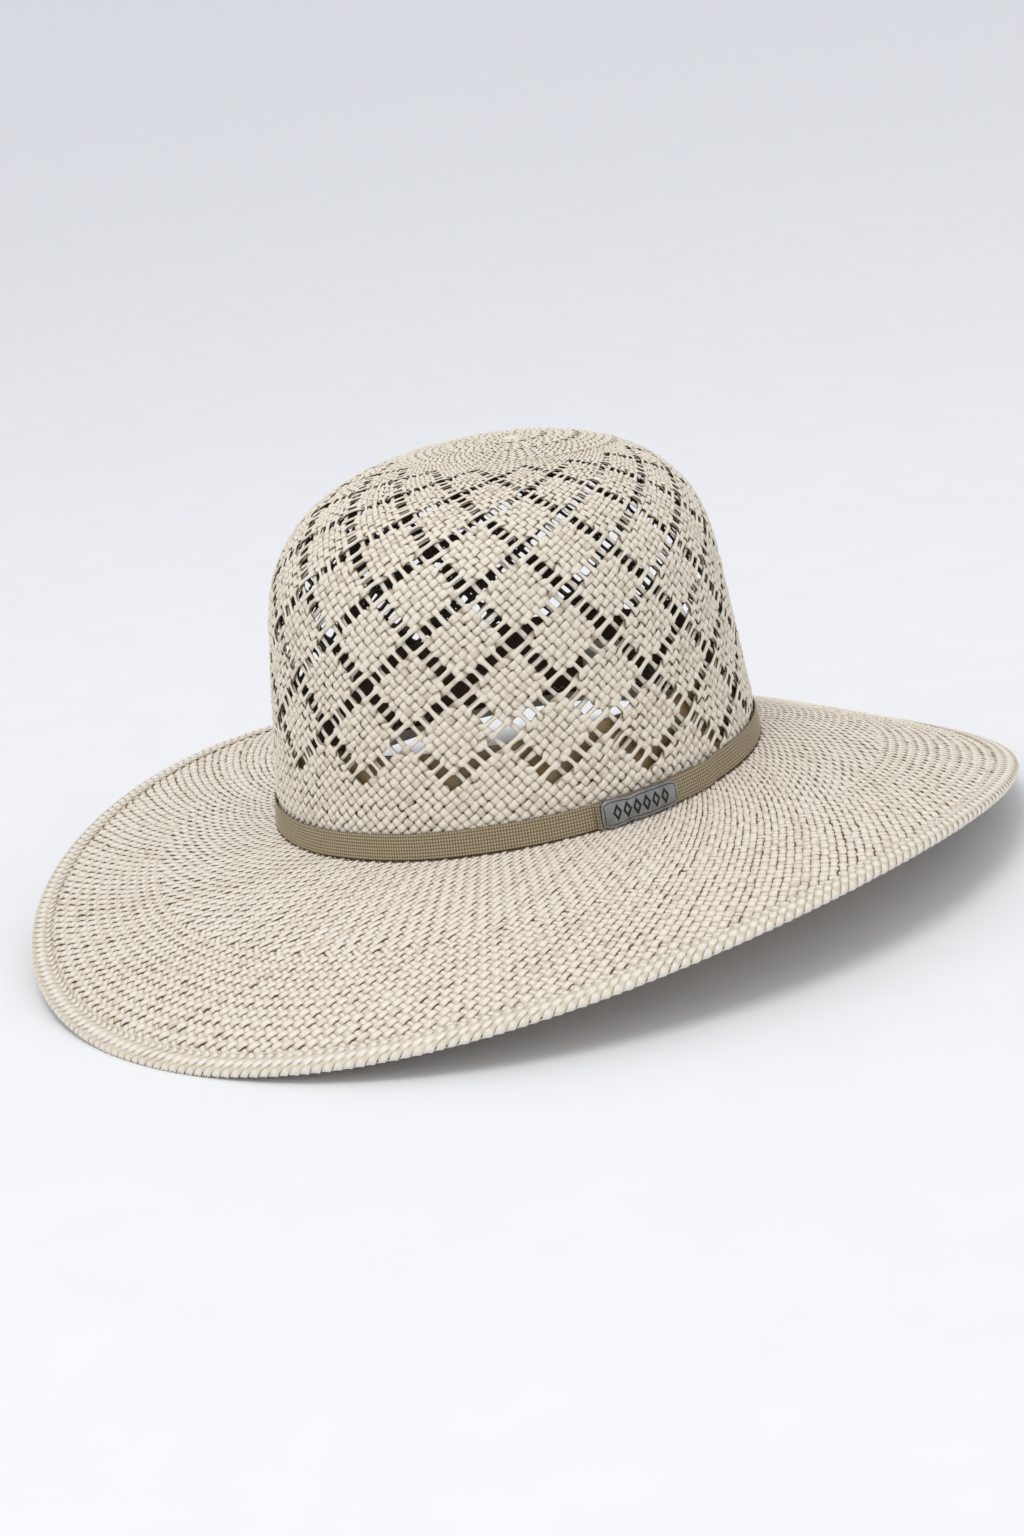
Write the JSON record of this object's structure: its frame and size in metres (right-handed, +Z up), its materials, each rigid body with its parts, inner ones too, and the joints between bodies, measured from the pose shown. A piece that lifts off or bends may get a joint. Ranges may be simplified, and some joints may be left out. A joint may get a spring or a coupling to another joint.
{
  "type": "cowboy hat",
  "caption": "Open-crown woven straw hat with diagonal vents in the crown, a wide brim that dips at front and back, a grosgrain band and a metal plaque.",
  "frame": {"origin": "on the surface that the hat stands on, under the middle of the hat", "axes": "+Z up through the crown, -Y towards the front of the hat, +X towards the wearer's left, where the plaque is"},
  "size_m": [0.3626, 0.4088, 0.1699],
  "materials": {
    "straw": "matt woven straw, ivory",
    "brim_straw": "matt fine woven straw, ivory",
    "spring_wire": "drawn wire and thin plate",
    "thread": "cotton thread",
    "grosgrain": "ribbed grosgrain ribbon, taupe",
    "plaque_steel": "satin polished, engraved",
    "sweatband_leather": "smooth tan leather",
    "reed_plastic": "smooth",
    "cotton_tape": "woven tape",
    "bow_satin": "satin ribbon",
    "label": "woven label, blank"
  },
  "bodies": {
    "root": {"crown": "straw", "brim": "brim_straw", "brim_edge_fold": "brim_straw", "brim_edge_wire": "spring_wire", "brim_edge_stitching": "thread", "crown_seam_stitching": "thread", "hatband_ribbon": "grosgrain", "ribbon_tack_rear_left": "grosgrain", "ribbon_tack_rear_right": "grosgrain", "ribbon_tack_right": "grosgrain", "plaque": "plaque_steel", "plaque_clip_plate": "spring_wire", "sweatband": "sweatband_leather", "sweatband_reed": "reed_plastic", "reed_tape": "cotton_tape", "sweatband_stitching": "thread", "sweatband_rear_patch": "sweatband_leather", "rear_bow_left_loop": "bow_satin", "rear_bow_right_loop": "bow_satin", "rear_bow_knot": "bow_satin", "size_label": "label"}
  },
  "joints": []
}
